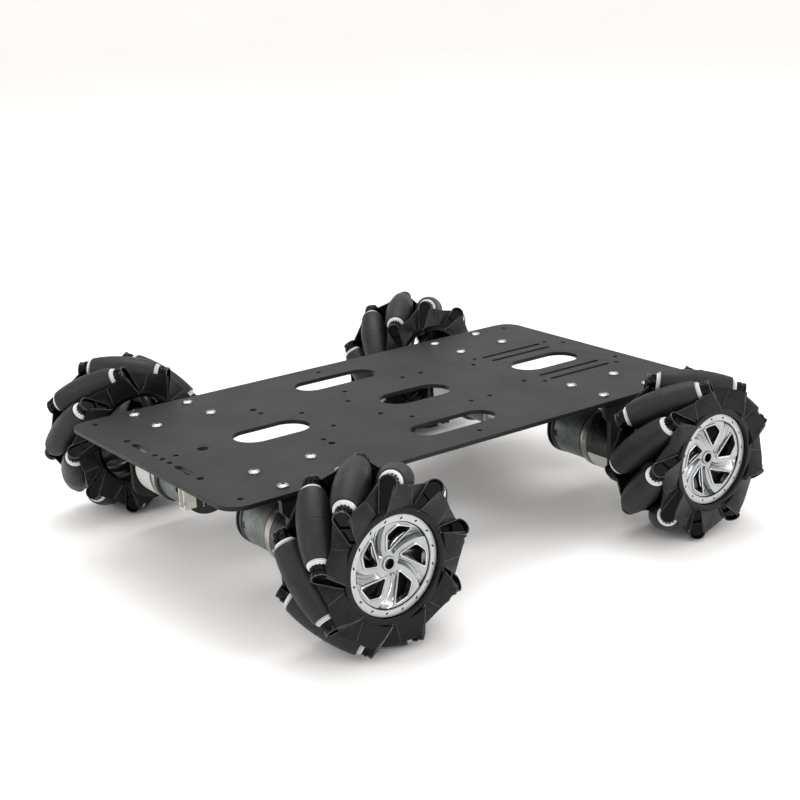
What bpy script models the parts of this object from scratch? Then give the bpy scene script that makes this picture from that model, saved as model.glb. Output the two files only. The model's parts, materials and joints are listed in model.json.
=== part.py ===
"""Four wheel robot chassis: an aluminium deck on four geared motors and mecanum wheels.

Metres, +Z up. The origin is on the ground under the middle of the deck. +X runs along
the deck towards the front and +Y across it to the left. Each wheel carries nine free
rollers whose axles stand at 45 degrees to the wheel's own axis.
"""
import math

import bmesh
import bpy
from mathutils import Matrix, Vector

# ---------------------------------------------------------------- driving dimensions
GAP = 0.0003                    # clearance left between touching pieces

DECK_LENGTH = 0.340
DECK_WIDTH = 0.1845
DECK_THICKNESS = 0.0025
DECK_CORNER = 0.012
DECK_TOP = 0.0749               # height of the deck's upper face

WHEEL_RADIUS = 0.0485           # to the tread, all round
WHEEL_BASE = 0.2282             # front axle to rear axle
WHEEL_MID = 0.1330              # wheel's middle plane, from the centre line
AXLE_HEIGHT = 0.0484

ROLLER_COUNT = 9
ROLLER_AXIS = 0.0392            # wheel axis to roller axis
ROLLER_RUBBER = 0.0206          # half length of the rubber barrel
ROLLER_HALF = 0.0218            # half length with the spacer rings
ROLLER_RING = 0.0055            # radius of a spacer ring
ROLLER_BORE = 0.0019
PIN_RADIUS = 0.0015
ROLLER_SIDES = 8

BARREL_OUTER = 0.0288           # the side plates' drum
BARREL_INNER = 0.0271
BARREL_FACE = 0.0212            # drum's face, outboard of the wheel's middle plane
TAB_START = 0.0254              # the tabs, measured along the roller's axis
TAB_END = 0.0282
TAB_HIGH = 0.0036               # tab's outboard edge, from the roller's axle
TAB_LOW = 0.0054
TAB_TOP = 0.0033                # tab's end, beyond the roller's axle
TAB_FOOT = 0.0162               # tab's foot, inside the roller's axle
BOSS_RADIUS = 0.0042

RIM_OUTER = 0.0264
RIM_INNER = 0.0227
RIM_FACE = 0.0193
HUB_RADIUS = 0.0062
HUB_FACE = 0.0148
SHAFT_RADIUS = 0.003
SPOKE_COUNT = 5

MOTOR_DROP = 0.008              # output shaft down to the motor's own axis
GEARBOX_RADIUS = 0.0185
GEARBOX_FACE = 0.0862           # distances from the centre line
GEARBOX_BACK = 0.0605
CAN_RADIUS = 0.0168
CAN_BACK = 0.0390
CAP_RADIUS = 0.0172
CAP_BACK = 0.0300
SHAFT_BOSS = 0.006

BRACKET_THICKNESS = 0.003
BRACKET_LENGTH = 0.048
BRACKET_INNER = 0.0460
BRACKET_DROP = 0.0520
BRACKET_X = 0.11355             # middle of the four screws
SCREW_X = 0.01795               # half spacing of the screws along the deck
SCREW_Y = 0.0141
SCREW_Y_MID = 0.0678
SCREW_HOLE = 0.0016

# Wheel turns at rest, in degrees, and which way the rollers lean.
WHEELS = {
    "rear_right": {"x": -1, "y": -1, "hand": 1, "turn": 35.5},
    "front_right": {"x": 1, "y": -1, "hand": -1, "turn": 18.0},
    "rear_left": {"x": -1, "y": 1, "hand": -1, "turn": 5.0},
    "front_left": {"x": 1, "y": 1, "hand": 1, "turn": 24.5},
}

# Round holes in the deck: (x, y, radius), and slots: (x, y, length, width).
HOLES = [(-0.1484, 0.0, 0.0016), (-0.1318, 0.0, 0.00325), (-0.157, 0.0, 0.0016)]
MIRRORED_HOLES = [
    (-0.157, 0.0083, 0.0016), (-0.157, 0.0415, 0.0021), (-0.157, 0.082, 0.0016),
    (-0.0736, 0.0416, 0.0021), (-0.0736, 0.0331, 0.0016), (-0.0554, 0.0165, 0.0016),
    (-0.0219, 0.0165, 0.0016), (-0.0121, 0.0343, 0.0016), (0.0, 0.0811, 0.0016),
    (0.0323, 0.0343, 0.0016), (0.0469, 0.0341, 0.0016), (0.0826, 0.0249, 0.0016),
    (0.0915, 0.0344, 0.0016), (0.1525, 0.0344, 0.0016), (0.157, 0.082, 0.0016),
    (0.161, 0.025, 0.0016),
]
SLOTS = [(-0.0868, 0.0, 0.048, 0.024), (0.0163, 0.0, 0.0486, 0.024), (0.1216, 0.0, 0.050, 0.024)]
MIRRORED_SLOTS = [(-0.0015, 0.0594, 0.0578, 0.0205), (0.122, 0.0331, 0.050, 0.003),
                  (0.122, 0.0233, 0.050, 0.003)]
END_SLOTS = [(-0.157, 0.0247, 0.018, 0.0038)]   # these two run across the deck


# ---------------------------------------------------------------- scene and materials
def clear_scene():
    for item in list(bpy.data.objects):
        bpy.data.objects.remove(item, do_unlink=True)


def material(name, colour, roughness, metallic=0.0):
    mat = bpy.data.materials.new(name)
    mat.use_nodes = True
    shader = mat.node_tree.nodes["Principled BSDF"]
    shader.inputs["Base Color"].default_value = (*colour, 1.0)
    shader.inputs["Roughness"].default_value = roughness
    shader.inputs["Metallic"].default_value = metallic
    return mat


def make_collection(name):
    group = bpy.data.collections.new(name)
    bpy.context.scene.collection.children.link(group)
    return group


def add_object(name, mesh, group, mat=None):
    obj = bpy.data.objects.new(name, mesh)
    group.objects.link(obj)
    if mat and not mesh.materials:
        mesh.materials.append(mat)
    return obj


# ---------------------------------------------------------------- mesh helpers
def finish_mesh(bm, name, sharp=35.0):
    mesh = bpy.data.meshes.new(name)
    bmesh.ops.recalc_face_normals(bm, faces=bm.faces)
    bm.to_mesh(mesh)
    bm.free()
    mesh.shade_smooth()
    mesh.set_sharp_from_angle(angle=math.radians(sharp))
    return mesh


def axis_matrix(centre, direction, side=None):
    """Places a shape's own Z along direction, and its X as near side as it can be."""
    z = Vector(direction).normalized()
    x = Vector(side) if side else z.orthogonal()
    x = (x - z * x.dot(z)).normalized()
    y = z.cross(x)
    turn = Matrix((x, y, z)).transposed().to_4x4()
    return Matrix.Translation(centre) @ turn


def cylinder(radius, start, end, place=Matrix(), sides=24):
    bm = bmesh.new()
    shift = Matrix.Translation((0, 0, (start + end) / 2))
    bmesh.ops.create_cone(bm, cap_ends=True, segments=sides, radius1=radius, radius2=radius,
                          depth=end - start, matrix=place @ shift)
    return finish_mesh(bm, "cylinder")


def box(size, centre):
    bm = bmesh.new()
    scale = Matrix.Diagonal((*size, 1.0))
    bmesh.ops.create_cube(bm, size=1.0, matrix=Matrix.Translation(centre) @ scale)
    return finish_mesh(bm, "box")


def hull(points, name="hull"):
    bm = bmesh.new()
    for point in points:
        bm.verts.new(point)
    made = bmesh.ops.convex_hull(bm, input=bm.verts)
    spare = [item for item in made["geom_interior"] if isinstance(item, bmesh.types.BMVert)]
    bmesh.ops.delete(bm, geom=spare, context="VERTS")
    return finish_mesh(bm, name)


def turned(name, profile, sides):
    """Turns (radius, height) points about Z. A closed profile makes a ring or a tube."""
    bm = bmesh.new()
    steps = [2 * math.pi * k / sides for k in range(sides)]
    rings = []
    for radius, height in profile:
        if radius < 1e-7:
            rings.append([bm.verts.new((0, 0, height))] * sides)
            continue
        rings.append([bm.verts.new((radius * math.cos(a), radius * math.sin(a), height))
                      for a in steps])
    closed = profile[0][0] > 1e-7
    pairs = list(zip(rings, rings[1:]))
    if closed:
        pairs.append((rings[-1], rings[0]))
    for low, high in pairs:
        for k in range(sides):
            corners = [low[k], low[(k + 1) % sides], high[(k + 1) % sides], high[k]]
            bm.faces.new(list(dict.fromkeys(corners)))
    return finish_mesh(bm, name)


def fuse(name, base, additions=(), cuts=()):
    """Joins and cuts meshes with Boolean modifiers and returns the one mesh they make."""
    work = make_collection("work")
    body = add_object(name, base, work)
    spare = []
    for operation, meshes in (("UNION", additions), ("DIFFERENCE", cuts)):
        for mesh in meshes:
            tool = add_object("tool", mesh, work)
            spare.append(tool)
            step = body.modifiers.new("step", "BOOLEAN")
            step.operation = operation
            step.object = tool
    bpy.context.view_layer.update()
    seen = body.evaluated_get(bpy.context.evaluated_depsgraph_get())
    result = bpy.data.meshes.new_from_object(seen)
    result.name = name
    for item in [body] + spare:
        bpy.data.objects.remove(item, do_unlink=True)
    bpy.data.collections.remove(work)
    bm = bmesh.new()
    bm.from_mesh(result)
    bmesh.ops.remove_doubles(bm, verts=bm.verts, dist=2e-6)
    bmesh.ops.dissolve_degenerate(bm, edges=bm.edges, dist=1e-6)
    bmesh.ops.dissolve_limit(bm, angle_limit=math.radians(0.5), verts=bm.verts, edges=bm.edges)
    bm.to_mesh(result)
    bm.free()
    result.shade_smooth()
    result.set_sharp_from_angle(angle=math.radians(35))
    return result


# ---------------------------------------------------------------- deck
def rounded_loop(cx, cy, length, width, radius, steps):
    """The outline of a rectangle whose corners are arcs."""
    points = []
    for corner in range(4):
        sx = (1, -1, -1, 1)[corner]
        sy = (1, 1, -1, -1)[corner]
        x = cx + sx * (length / 2 - radius)
        y = cy + sy * (width / 2 - radius)
        for k in range(steps + 1):
            a = math.radians(90 * corner + 90 * k / steps)
            points.append((x + radius * math.cos(a), y + radius * math.sin(a)))
    kept = [points[0]]
    for point in points[1:]:
        if math.dist(point, kept[-1]) > 1e-6:
            kept.append(point)
    if math.dist(kept[0], kept[-1]) < 1e-6:
        kept.pop()
    return kept


def circle_loop(cx, cy, radius, sides):
    return [(cx + radius * math.cos(2 * math.pi * k / sides),
             cy + radius * math.sin(2 * math.pi * k / sides)) for k in range(sides)]


def screw_places():
    """The sixteen deck screws: four over each motor bracket."""
    return [(sx * (BRACKET_X + kx * SCREW_X), sy * (SCREW_Y_MID + ky * SCREW_Y))
            for sx in (-1, 1) for sy in (-1, 1) for kx in (-1, 1) for ky in (-1, 1)]


def deck_loops():
    loops = [rounded_loop(0, 0, DECK_LENGTH, DECK_WIDTH, DECK_CORNER, 4)]
    holes = HOLES + [(x, sy * y, r) for x, y, r in MIRRORED_HOLES for sy in (-1, 1)]
    holes += [(x, y, SCREW_HOLE) for x, y in screw_places()]
    for x, y, radius in holes:
        loops.append(circle_loop(x, y, radius, 12 if radius > 0.003 else 8))
    slots = SLOTS + [(x, sy * y, a, b) for x, y, a, b in MIRRORED_SLOTS for sy in (-1, 1)]
    for x, y, length, width in slots:
        loops.append(rounded_loop(x, y, length, width, width / 2, 4 if width > 0.01 else 2))
    for x, y, length, width in END_SLOTS:
        for sy in (-1, 1):
            loops.append(rounded_loop(x, sy * y, width, length, width / 2, 2))
    return loops


def sheet(name, loops, thickness, place):
    """A flat cut sheet: the first loop is its outline and the others are holes."""
    curve = bpy.data.curves.new(name, "CURVE")
    curve.dimensions = "2D"
    curve.fill_mode = "BOTH"
    curve.extrude = thickness / 2
    for loop in loops:
        line = curve.splines.new("POLY")
        line.points.add(len(loop) - 1)
        for point, (x, y) in zip(line.points, loop):
            point.co = (x, y, 0, 1)
        line.use_cyclic_u = True
    flat = bpy.data.objects.new(name, curve)
    bpy.context.scene.collection.objects.link(flat)
    bpy.context.view_layer.update()
    mesh = bpy.data.meshes.new_from_object(flat.evaluated_get(bpy.context.evaluated_depsgraph_get()))
    bpy.data.objects.remove(flat, do_unlink=True)
    bm = bmesh.new()
    bm.from_mesh(mesh)
    bmesh.ops.remove_doubles(bm, verts=bm.verts, dist=1e-6)
    bmesh.ops.transform(bm, matrix=place, verts=bm.verts)
    return finish_mesh(bm, name)


def make_deck(group, mat):
    middle = Matrix.Translation((0, 0, DECK_TOP - DECK_THICKNESS / 2))
    mesh = sheet("top_plate", deck_loops(), DECK_THICKNESS, middle)
    add_object("top_plate", mesh, group, mat)


# ---------------------------------------------------------------- brackets and motors
def bracket_mesh():
    """An L of sheet at the left front corner, with the wheel's axle as its origin."""
    top = DECK_TOP - DECK_THICKNESS - GAP - AXLE_HEIGHT
    mid_y = (BRACKET_INNER + GEARBOX_FACE + GAP + BRACKET_THICKNESS) / 2
    flange_width = GEARBOX_FACE + GAP + BRACKET_THICKNESS - BRACKET_INNER
    flange = box((BRACKET_LENGTH, flange_width, BRACKET_THICKNESS),
                 (BRACKET_X - WHEEL_BASE / 2, mid_y, top - BRACKET_THICKNESS / 2))
    wall_y = GEARBOX_FACE + GAP + BRACKET_THICKNESS / 2
    wall_loop = rounded_loop(0, top - BRACKET_DROP / 2, 0.040, BRACKET_DROP, 0.010, 4)
    square_top = [(x, z) for x, z in wall_loop if z < top - 0.011]
    square_top += [(-0.020, top), (0.020, top)]
    square_top.sort(key=lambda p: math.atan2(p[1] - top + BRACKET_DROP / 2, p[0]))
    upright = axis_matrix((0, wall_y, 0), (0, -1, 0), side=(1, 0, 0))
    hole = circle_loop(0, 0, SHAFT_BOSS + 0.0008, 12)
    wall = sheet("wall", [square_top, hole], BRACKET_THICKNESS, upright)
    holes = [cylinder(SCREW_HOLE, -0.01, 0.01, Matrix.Translation(
        (BRACKET_X - WHEEL_BASE / 2 + kx * SCREW_X, SCREW_Y_MID + ky * SCREW_Y, top)), 6)
        for kx in (-1, 1) for ky in (-1, 1)]
    return fuse("bracket", flange, [wall], holes)


def motor_mesh():
    """Gearbox, can and rear cap on the motor's axis, with the shaft's boss above it."""
    profile = [(0, -GEARBOX_FACE), (GEARBOX_RADIUS, -GEARBOX_FACE), (GEARBOX_RADIUS, -GEARBOX_BACK),
               (CAN_RADIUS, -GEARBOX_BACK), (CAN_RADIUS, -CAN_BACK - 0.0012),
               (CAP_RADIUS, -CAN_BACK), (CAP_RADIUS, -CAP_BACK), (0, -CAP_BACK)]
    body = turned("motor", profile, 16)
    body.transform(axis_matrix((0, 0, -MOTOR_DROP), (0, -1, 0)))
    boss = cylinder(SHAFT_BOSS, GEARBOX_FACE - 0.002, GEARBOX_FACE + 0.0045,
                    axis_matrix((0, 0, 0), (0, 1, 0)), 12)
    return fuse("motor", body, [boss])


# ---------------------------------------------------------------- wheel parts
# A wheel is built about its own centre with +Y outboard. Roller number 0 lies towards +X.
def lean_axis(hand):
    """Roller 0's axis, and the direction across its end tabs that rises outboard."""
    along = Vector((0, 1, -hand)).normalized()
    across = Vector((0, 1, hand)).normalized()
    return along, across


def barrel_point(s):
    """A point (radius, distance along the axle) of the barrel that rolls on the tread circle."""
    reach = math.hypot(ROLLER_AXIS, s / math.sqrt(2))
    slope = s / (2 * reach)
    left = WHEEL_RADIUS - reach
    return left * math.sqrt(1 - slope * slope), s + left * slope


def barrel_radius(s):
    """Radius of the barrel at distance s from its middle, by repeated correction."""
    guess = s
    for _ in range(20):
        guess += s - barrel_point(guess)[1]
    return barrel_point(guess)[0]


def roller_mesh():
    half = ROLLER_HALF
    shoulder = 0.5 * ROLLER_RUBBER
    outside = [(ROLLER_RING, half), (barrel_radius(shoulder), shoulder),
               (barrel_radius(shoulder), -shoulder), (ROLLER_RING, -half)]
    bore = [(ROLLER_BORE, -half), (ROLLER_BORE, half)]
    return turned("roller", outside + bore, ROLLER_SIDES)


def polar(radius, degrees, axial, hand):
    """A point at an angle from +X, counted the way roller 0's outer end leans."""
    a = math.radians(degrees)
    return Vector((radius * math.cos(a), axial, -hand * radius * math.sin(a)))


def tab_mesh(hand):
    """The tab at roller 0's outer end, square to the roller's axle, with the boss on its inner face."""
    along, across = lean_axis(hand)
    radial = Vector((1, 0, 0))
    arc = [math.radians(45 * k) for k in range(8)]
    outline = [(TAB_HIGH, -0.001), (0.7 * TAB_HIGH, TAB_TOP), (-0.6 * TAB_LOW, TAB_TOP),
               (-TAB_LOW, 0.0002), (-0.0004, -TAB_FOOT), (0.0030, -TAB_FOOT)]
    points = [radial * (ROLLER_AXIS + p) + across * q + along * s
              for q, p in outline for s in (TAB_START, TAB_END)]
    points += [radial * (ROLLER_AXIS + BOSS_RADIUS * math.sin(a)) + across * BOSS_RADIUS * math.cos(a)
               + along * (ROLLER_HALF + GAP) for a in arc]
    return hull(points, "tab")


def web_mesh(hand):
    """The web from this tab's high side, tilting down to the next tab's low side."""
    corners = [(0.0309, 37.0, 0.0232, 0.0040), (0.0430, 25.4, 0.0227, 0.0006),
               (0.0412, 7.5, 0.0204, 0.0014), (0.0425, -7.0, 0.0160, 0.0008),
               (0.0304, 3.9, 0.0210, 0.0040), (0.0280, 30.0, 0.0208, 0.0040),
               (0.0280, 6.0, 0.0205, 0.0040)]
    points = []
    for radius, degrees, height, thickness in corners:
        points.append(polar(radius, degrees, height, hand))
        points.append(polar(radius, degrees, height - thickness, hand))
    return hull(points, "web")


def side_plate(hand, with_pins):
    """One side plate: half the drum, nine tabs with bosses, nine webs, and maybe the axles."""
    drum = turned("drum", [(BARREL_OUTER, GAP / 2), (BARREL_OUTER, BARREL_FACE),
                           (BARREL_INNER, BARREL_FACE), (BARREL_INNER, GAP / 2)], 18)
    drum.transform(axis_matrix((0, 0, 0), (0, 1, 0)))
    along, _ = lean_axis(hand)
    pin_start = GAP - ROLLER_HALF if with_pins else ROLLER_HALF + GAP
    pin = cylinder(PIN_RADIUS, pin_start, TAB_START + 0.0008,
                   axis_matrix((ROLLER_AXIS, 0, 0), along), 6)
    pieces = []
    for k in range(ROLLER_COUNT):
        turn = Matrix.Rotation(2 * math.pi * k / ROLLER_COUNT, 4, "Y")
        shapes = [tab_mesh(hand), web_mesh(hand)]
        if with_pins:
            shapes.append(pin.copy())
        for shape in shapes:
            shape.transform(turn)
            pieces.append(shape)
    return fuse("side_plate", drum, pieces)


def hub_mesh(hand):
    """The spoked rim with its hub, and the coupling and shaft that run in to the gearbox."""
    lathe = axis_matrix((0, 0, 0), (0, 1, 0))
    ring = turned("ring", [(RIM_OUTER, RIM_FACE - 0.006), (RIM_OUTER, RIM_FACE),
                           (RIM_INNER, RIM_FACE), (RIM_INNER, RIM_FACE - 0.006)], 20)
    ring.transform(lathe)
    shaft_end = GEARBOX_FACE + 0.0045 + GAP - WHEEL_MID
    coupling_end = shaft_end + 0.008
    hub = turned("hub", [(0, shaft_end), (SHAFT_RADIUS, shaft_end), (SHAFT_RADIUS, coupling_end),
                         (HUB_RADIUS, coupling_end), (HUB_RADIUS, HUB_FACE - 0.002),
                         (0.0040, HUB_FACE), (0.0027, HUB_FACE), (0.0027, HUB_FACE - 0.006),
                         (0, HUB_FACE - 0.006)], 12)
    hub.transform(lathe)
    spokes = []
    for k in range(SPOKE_COUNT):
        spoke = hull([(0.003 + 0.0205 * end, RIM_FACE - 0.0055 + 0.003 * top,
                       hand * (0.0035 - 0.0105 * end) + side * (0.002 + 0.0012 * end))
                      for end in (0, 1) for top in (0, 1) for side in (-1, 1)], "spoke")
        spoke.transform(Matrix.Rotation(2 * math.pi * k / SPOKE_COUNT, 4, "Y"))
        spokes.append(spoke)
    return fuse("hub", hub, [ring] + spokes)


def make_wheel(corner, place, meshes, group, mats):
    """Places one wheel's parts on an empty that stands on the wheel's axis."""
    hand = place["hand"]
    wheel = bpy.data.objects.new(corner + "_wheel_axis", None)
    group.objects.link(wheel)
    wheel.location = (place["x"] * WHEEL_BASE / 2, place["y"] * WHEEL_MID, AXLE_HEIGHT)
    flip = 0.0 if place["y"] > 0 else math.pi
    wheel.rotation_euler = (0, -math.radians(place["turn"]), flip)
    outer = add_object(corner + "_outer_side_plate", meshes["outer", hand], group, mats["nylon"])
    inner = add_object(corner + "_inner_side_plate", meshes["inner", hand], group, mats["nylon"])
    inner.rotation_euler = (math.pi, 0, 0)
    hub = add_object(corner + "_spoked_hub", meshes["hub", hand], group, mats["silver"])
    for item in (outer, inner, hub):
        item.parent = wheel
    along, _ = lean_axis(hand)
    for k in range(ROLLER_COUNT):
        roller = add_object(f"{corner}_roller_{k + 1}", meshes["roller"], group, mats["rubber"])
        roller.parent = wheel
        turn = Matrix.Rotation(-2 * math.pi * k / ROLLER_COUNT, 4, "Y")
        roller.matrix_local = turn @ axis_matrix((ROLLER_AXIS, 0, 0), along, side=(1, 0, 0))


def make_drive(corner, place, meshes, group, mats):
    """Places one corner's bracket and geared motor."""
    x, y = place["x"], place["y"]
    turn = Matrix.Rotation(0.0 if y > 0 else math.pi, 4, "Z")
    bracket = add_object(corner + "_motor_bracket", meshes["bracket", x * y], group, mats["nylon"])
    motor = add_object(corner + "_gear_motor", meshes["motor"], group, mats["zinc"])
    for item in (bracket, motor):
        item.matrix_world = Matrix.Translation((x * WHEEL_BASE / 2, 0, AXLE_HEIGHT)) @ turn


def main():
    clear_scene()
    group = make_collection("four_wheel_robot_chassis")
    mats = {
        "deck": material("black anodised aluminium", (0.065, 0.065, 0.072), 0.5, 0.4),
        "nylon": material("black nylon", (0.012, 0.012, 0.013), 0.28),
        "rubber": material("black rubber", (0.018, 0.018, 0.018), 0.75),
        "silver": material("satin silver", (0.72, 0.73, 0.75), 0.3, 0.9),
        "zinc": material("zinc plated steel", (0.42, 0.44, 0.43), 0.4, 0.8),
    }
    bracket = bracket_mesh()
    mirrored = bracket.copy()
    mirrored.transform(Matrix.Diagonal((-1, 1, 1, 1)))
    mirrored.flip_normals()
    meshes = {"roller": roller_mesh(), "motor": motor_mesh(),
              ("bracket", 1): bracket, ("bracket", -1): mirrored}
    for hand in (1, -1):
        meshes["outer", hand] = side_plate(hand, with_pins=False)
        meshes["inner", hand] = side_plate(hand, with_pins=True)
        meshes["hub", hand] = hub_mesh(hand)
    make_deck(group, mats["deck"])
    for corner, place in WHEELS.items():
        make_drive(corner, place, meshes, group, mats)
        make_wheel(corner, place, meshes, group, mats)


main()
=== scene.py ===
import json
import math

import bmesh
import bpy
from mathutils import Matrix, Vector


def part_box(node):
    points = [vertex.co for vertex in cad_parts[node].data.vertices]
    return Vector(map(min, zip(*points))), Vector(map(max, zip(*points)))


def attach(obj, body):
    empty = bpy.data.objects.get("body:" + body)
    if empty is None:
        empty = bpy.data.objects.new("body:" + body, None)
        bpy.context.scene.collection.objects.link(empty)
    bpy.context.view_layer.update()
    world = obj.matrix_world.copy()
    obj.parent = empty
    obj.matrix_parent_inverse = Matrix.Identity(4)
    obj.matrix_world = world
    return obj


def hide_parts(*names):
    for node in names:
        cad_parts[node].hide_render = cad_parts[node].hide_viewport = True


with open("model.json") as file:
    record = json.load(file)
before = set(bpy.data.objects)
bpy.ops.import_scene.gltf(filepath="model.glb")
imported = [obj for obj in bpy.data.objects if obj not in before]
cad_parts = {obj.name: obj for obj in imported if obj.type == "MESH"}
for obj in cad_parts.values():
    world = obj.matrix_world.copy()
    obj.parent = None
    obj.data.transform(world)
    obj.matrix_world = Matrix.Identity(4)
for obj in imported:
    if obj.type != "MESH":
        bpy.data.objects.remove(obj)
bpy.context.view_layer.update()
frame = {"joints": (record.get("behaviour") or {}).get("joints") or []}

CORNERS = ("rear_right", "front_right", "rear_left", "front_left")
JOINTS = {joint["name"]: joint for joint in frame["joints"]}
TAU = 2 * math.pi

# ---------------------------------------------------------------- sizes shared by the parts
ROLLER_COUNT = 9
ROLLER_AXIS = 0.0392            # wheel axis to roller axis
WHEEL_RADIUS = 0.0485
RUBBER_HALF = 0.0205            # rubber barrel, along the roller's axle
FLANGE_START = 0.0206
FLANGE_WIDTH = 0.00135
BOSS_START = 0.0221
FINGER_BACK = 0.0252            # the side plate's fingers, along the roller's axle
FINGER_FACE = 0.0282
POCKET_DEPTH = 0.0013
DRUM_OUTER = 0.0288
DRUM_INNER = 0.0271
LIP_OUTER = 0.0306
LIP_FACE = 0.0213
RIM_OUTER = 0.0265
RIM_INNER = 0.0227
RIM_FACE = 0.0193
WINDOW_COUNT = 5
MARK_COUNT = 16
MARK_RADIUS = 0.0245
RIM_TURN = 2.0                  # degrees from roller 1 to the middle of a rim window
PITCH = 360.0 / WINDOW_COUNT
# The rim's lines and corners are (radius, degrees) points about its own axis.
WINDOW_CORNERS = [(0.0075, 25.0), (0.0207, -19.0), (0.0203, 4.0), (0.0166, 22.5)]
WINDOW_LONG_SIDE = [(0.0075, 29.0), (0.0214, -22.0)]
CLIFF = [(0.0075, 51.0), (0.0215, 26.0)]
VANE_DROP = 0.0028
RIDGES = [((0.0062, 88.0), (0.0216, 43.0)), ((0.0062, 70.0), (0.0216, 34.0))]
BRACKET_THICKNESS = 0.003
GAP = 0.0003                    # the CAD's clearance between neighbours
GEARBOX_LENGTH = 0.0257
CAN_LENGTH = 0.0245
CAN_RADIUS = 0.0168
CAP_LENGTH = 0.0042
SHAFT_RISE = 0.008              # motor axis up to the gearbox's shaft
BOSS_RISE = 0.0012              # the CAD's shaft boss past the bracket's outer face
SCREW_HOLE = 0.0016             # radius of the deck's screw holes
SPLIT = 0.00015                 # half the joint line between the two side plates

# Round holes in the deck: (x, y, radius), and slots: (x, y, length, width).
HOLES = [(-0.1484, 0.0, 0.0016), (-0.1318, 0.0, 0.00325), (-0.157, 0.0, 0.0016)]
MIRRORED_HOLES = [
    (-0.157, 0.0083, 0.0016), (-0.157, 0.0415, 0.0021), (-0.157, 0.082, 0.0016),
    (-0.0736, 0.0416, 0.0021), (-0.0736, 0.0331, 0.0016), (-0.0554, 0.0165, 0.0016),
    (-0.0219, 0.0165, 0.0016), (-0.0121, 0.0343, 0.0016), (0.0, 0.0811, 0.0016),
    (0.0323, 0.0343, 0.0016), (0.0469, 0.0341, 0.0016), (0.0826, 0.0249, 0.0016),
    (0.0915, 0.0344, 0.0016), (0.1525, 0.0344, 0.0016), (0.157, 0.082, 0.0016),
    (0.161, 0.025, 0.0016),
]
SLOTS = [(-0.0868, 0.0, 0.048, 0.024), (0.0163, 0.0, 0.0486, 0.024), (0.1216, 0.0, 0.050, 0.024)]
MIRRORED_SLOTS = [(-0.0015, 0.0594, 0.0578, 0.0205), (0.122, 0.0331, 0.050, 0.003),
                  (0.122, 0.0233, 0.050, 0.003)]
END_SLOTS = [(-0.157, 0.0247, 0.018, 0.0038)]   # these two run across the deck
DECK_CORNER = 0.012
SCREW_X = (0.11355 - 0.01795, 0.11355 + 0.01795)
SCREW_Y = (0.0678 - 0.0141, 0.0678 + 0.0141)


# ---------------------------------------------------------------- materials
class Finish:
    """A Principled material under construction, with short calls for its nodes."""

    def __init__(self, name, colour, roughness, metallic=0.0, **sockets):
        self.mat = bpy.data.materials.new(name)
        self.mat.use_nodes = True
        self.nodes = self.mat.node_tree.nodes
        self.links = self.mat.node_tree.links
        self.shader = self.nodes["Principled BSDF"]
        self.colour = colour
        sockets.update(Base_Color=(*colour, 1.0), Roughness=roughness, Metallic=metallic)
        for socket, value in sockets.items():
            self.shader.inputs[socket.replace("_", " ")].default_value = value
        self.place = self.nodes.new("ShaderNodeTexCoord").outputs["Object"]

    def add(self, kind, output, **inputs):
        """A new node's output; each input is a value or another node's output."""
        node = self.nodes.new("ShaderNode" + kind)
        for name, value in inputs.items():
            socket = node.inputs[name.replace("_", " ")]
            if isinstance(value, bpy.types.NodeSocket):
                self.links.new(value, socket)
            else:
                socket.default_value = value
        return node.outputs[output]

    def noise(self, scale, detail=4.0, stretch=None):
        place = self.place
        if stretch:
            place = self.add("Mapping", "Vector", Scale=stretch, Vector=place)
        return self.add("TexNoise", "Fac", Scale=scale, Detail=detail, Roughness=0.55, Vector=place)

    def cells(self, scale):
        return self.add("TexVoronoi", "Color", Scale=scale, Vector=self.place)

    def tint(self, factor, low, high):
        """Varies the base colour from low times to high times its value."""
        node = self.nodes.new("ShaderNodeValToRGB")
        for stop, gain, where in zip(node.color_ramp.elements, (low, high), (0.3, 0.7)):
            stop.position = where
            stop.color = (*[min(1.0, c * gain) for c in self.colour], 1.0)
        self.links.new(factor, node.inputs["Fac"])
        self.links.new(node.outputs["Color"], self.shader.inputs["Base Color"])

    def rough(self, factor, low, high):
        """Varies the roughness between low and high."""
        spread = self.add("MapRange", "Result", Value=factor, From_Min=0.35, From_Max=0.65,
                          To_Min=low, To_Max=high)
        self.links.new(spread, self.shader.inputs["Roughness"])

    def bump(self, factor, depth, strength=1.0):
        normal = self.add("Bump", "Normal", Strength=strength, Distance=depth, Height=factor)
        self.links.new(normal, self.shader.inputs["Normal"])


def surface(name, colour, metallic, tint, gloss, relief, **sockets):
    """A finish whose tint, roughness and relief each follow a noise of their own.

    tint and gloss are (scale, detail, low, high): low and high are times the colour in tint,
    and roughnesses in gloss. relief is (scale, detail, depth, strength)."""
    made = Finish(name, colour, gloss[2], metallic, **sockets)
    made.tint(made.noise(*tint[:2]), *tint[2:])
    made.rough(made.noise(*gloss[:2]), *gloss[2:])
    made.bump(made.noise(*relief[:2]), *relief[2:])
    return made.mat


def plain_finish(name, colour, roughness, metallic=0.0, grain=900.0, depth=0.00002, **sockets):
    """A moulded or plated finish: slight mottling, uneven gloss and a fine grain."""
    gloss = (60.0, 6.0, roughness * 0.88, roughness * 1.15)
    return surface(name, colour, metallic, (120.0, 4.0, 0.9, 1.12), gloss, (grain, 3.0, depth, 1.0),
                   **sockets)


def deck_finish(name, colour, roughness):
    """Matt anodised sheet with a very fine, even grain."""
    gloss = (24.0, 6.0, roughness * 0.92, roughness * 1.08)
    return surface(name, colour, 0.0, (35.0, 6.0, 0.94, 1.07), gloss, (2600.0, 4.0, 0.00003, 0.7),
                   Specular_IOR_Level=0.18)


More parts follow.
